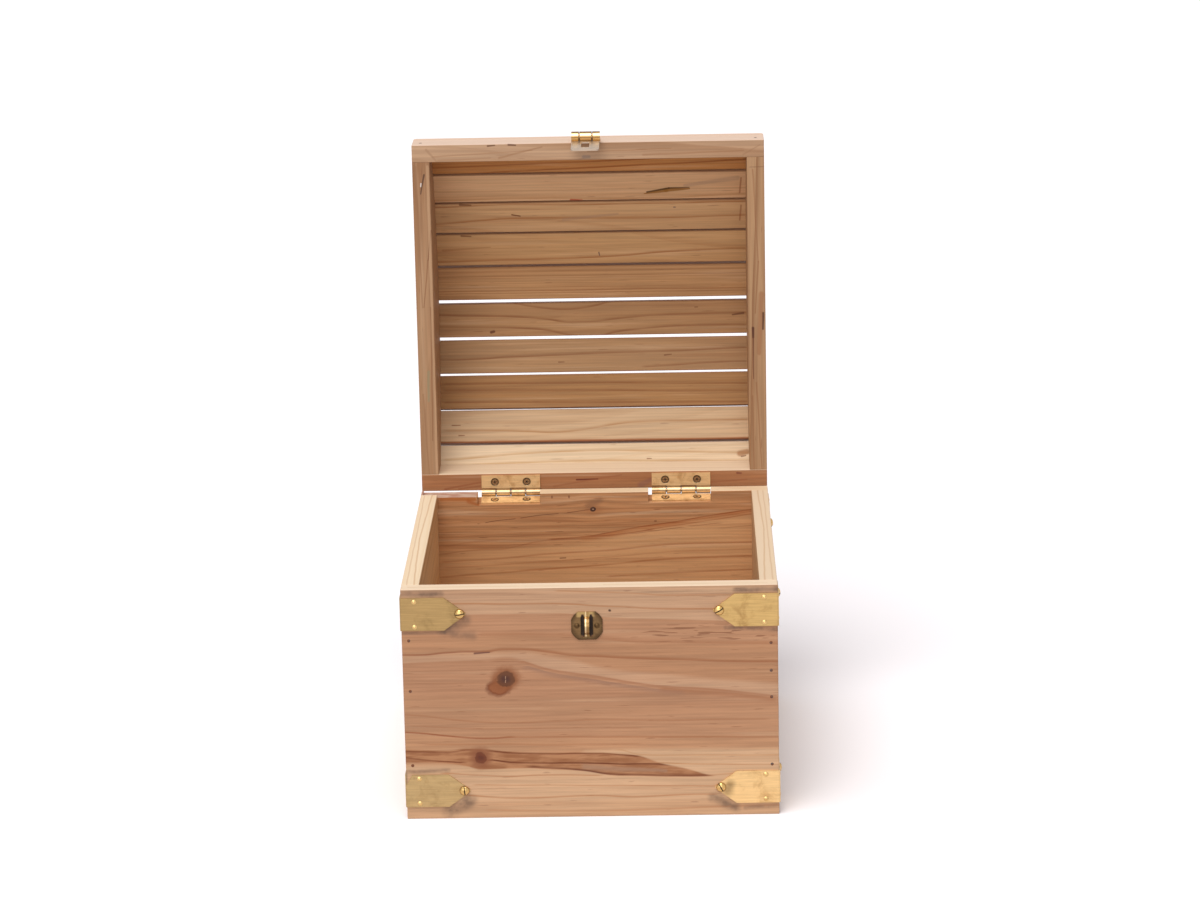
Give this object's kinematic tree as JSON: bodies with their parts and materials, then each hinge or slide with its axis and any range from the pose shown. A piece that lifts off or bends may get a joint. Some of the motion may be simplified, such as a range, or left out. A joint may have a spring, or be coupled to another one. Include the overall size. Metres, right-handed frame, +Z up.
{
  "type": "storage box",
  "caption": "Square wooden storage box with an arched, slatted lid standing open on butt hinges, a slotted hasp and catch, and folded brass corner brackets.",
  "frame": {"origin": "centre of the box's underside, on the surface that it stands on", "axes": "+Z up, -Y towards the front with the catch, +Y towards the hinges, +X to the right seen from the front"},
  "size_m": [0.26, 0.3434, 0.4283],
  "materials": {
    "wood_box": "sanded, unvarnished softwood",
    "wood_lid": "sanded, unvarnished softwood",
    "brass_plate": "satin, rolled sheet",
    "brass_hardware": "polished, lightly tarnished"
  },
  "bodies": {
    "box": {"front_panel": "wood_box", "back_panel": "wood_box", "left_side_panel": "wood_box", "right_side_panel": "wood_box", "bottom_panel": "wood_box", "corner_bracket_front_left_bottom": "brass_plate", "corner_bracket_front_left_top": "brass_plate", "corner_bracket_front_right_bottom": "brass_plate", "corner_bracket_front_right_top": "brass_plate", "corner_bracket_rear_left_bottom": "brass_plate", "corner_bracket_rear_left_top": "brass_plate", "corner_bracket_rear_right_bottom": "brass_plate", "corner_bracket_rear_right_top": "brass_plate", "bracket_pins": "brass_hardware", "bracket_screws": "brass_hardware", "hinge_left_box_leaf": "brass_hardware", "hinge_right_box_leaf": "brass_hardware", "hinge_left_pin": "brass_hardware", "hinge_right_pin": "brass_hardware", "box_hinge_screws": "brass_hardware", "catch_plate": "brass_hardware", "catch_pins": "brass_hardware"},
    "lid": {"lid_front_rail": "wood_lid", "lid_back_rail": "wood_lid", "lid_left_end": "wood_lid", "lid_right_end": "wood_lid", "lid_slat_01": "wood_lid", "lid_slat_02": "wood_lid", "lid_slat_03": "wood_lid", "lid_slat_04": "wood_lid", "lid_slat_05": "wood_lid", "lid_slat_06": "wood_lid", "lid_slat_07": "wood_lid", "lid_slat_08": "wood_lid", "lid_slat_09": "wood_lid", "lid_slat_10": "wood_lid", "hinge_left_lid_leaf": "brass_hardware", "hinge_right_lid_leaf": "brass_hardware", "lid_hinge_screws": "brass_hardware", "hasp_fixed_leaf": "brass_hardware", "hasp_leaf_pins": "brass_hardware", "hasp_hinge_pin": "brass_hardware"},
    "hasp": {"hasp_flap": "brass_hardware"}
  },
  "joints": [
    {"name": "lid_hinge", "type": "hinge", "parent": "box", "child": "lid", "pos_m": [0, 0.1301, 0.16055], "axis": [1, 0, 0], "range_deg": [-82, 90]},
    {"name": "hasp_hinge", "type": "hinge", "parent": "lid", "child": "hasp", "pos_m": [-0.0012, 0.12925, 0.42415], "axis": [-1, 0, 0], "range_deg": [0, 175]}
  ]
}
